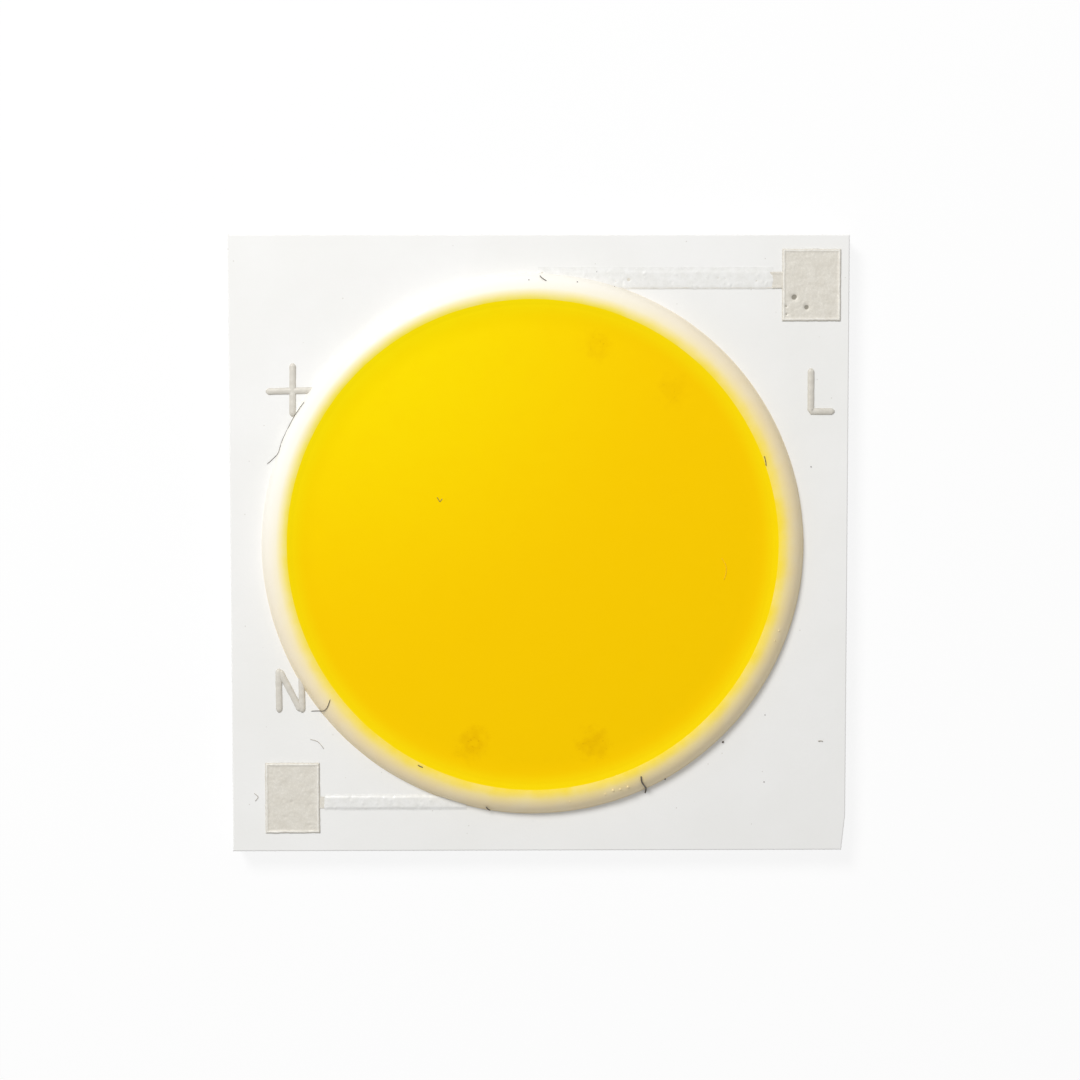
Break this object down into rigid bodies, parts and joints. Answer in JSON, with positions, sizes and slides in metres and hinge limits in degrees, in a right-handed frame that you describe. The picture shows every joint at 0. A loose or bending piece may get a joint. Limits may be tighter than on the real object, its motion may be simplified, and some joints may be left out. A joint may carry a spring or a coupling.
{
  "type": "chip-on-board led module",
  "caption": "Square white ceramic plate with a raised silicone dam ringing a round yellow phosphor disc, with printed silver solder pads and glazed tracks at opposite corners",
  "frame": {"origin": "centre of the ceramic plate's back face", "axes": "+Z is the way the light leaves, out of the phosphor disc; +Y points to the plate edge that has the line pad at its right-hand end; +X points to the edge next to the line pad"},
  "size_m": [0.019, 0.019, 0.0016],
  "materials": {
    "alumina": "fired white alumina, faintly warm, semi-matt",
    "silver": "screen-printed and fired silver paste, granular, satin",
    "glaze": "thin white printed glass, glossy with small pits",
    "dam_silicone": "cured white silicone bead, satin",
    "phosphor_silicone": "cured silicone full of yellow phosphor, smooth satin",
    "led_chip": "diced sapphire chip",
    "gold": "drawn gold bond wire",
    "clear_adhesive": "clear silicone adhesive",
    "silicon": "polished silicon chip",
    "silver_adhesive": "silver-filled epoxy"
  },
  "bodies": {
    "root": {"ceramic_plate": "alumina", "line_conductor": "silver", "neutral_conductor": "silver", "plus_land": "silver", "minus_rail": "silver", "line_glaze": "glaze", "neutral_glaze": "glaze", "dam_ring": "dam_silicone", "phosphor_fill": "phosphor_silicone", "led_row_1": "led_chip", "led_row_2": "led_chip", "led_row_3": "led_chip", "led_row_4": "led_chip", "led_row_5": "led_chip", "led_row_6": "led_chip", "led_row_7": "led_chip", "led_row_8": "led_chip", "led_row_9": "led_chip", "led_row_10": "led_chip", "led_row_11": "led_chip", "row_wires_1": "gold", "row_wires_2": "gold", "row_wires_3": "gold", "row_wires_4": "gold", "row_wires_5": "gold", "row_wires_6": "gold", "row_wires_7": "gold", "row_wires_8": "gold", "row_wires_9": "gold", "row_wires_10": "gold", "row_wires_11": "gold", "link_wires": "gold", "led_adhesive": "clear_adhesive", "rectifier_chip_plus": "silicon", "rectifier_chip_minus": "silicon", "driver_chip_left": "silicon", "driver_chip_right": "silicon", "power_chip_adhesive": "silver_adhesive", "rectifier_wires": "gold", "driver_wires": "gold"}
  },
  "joints": []
}
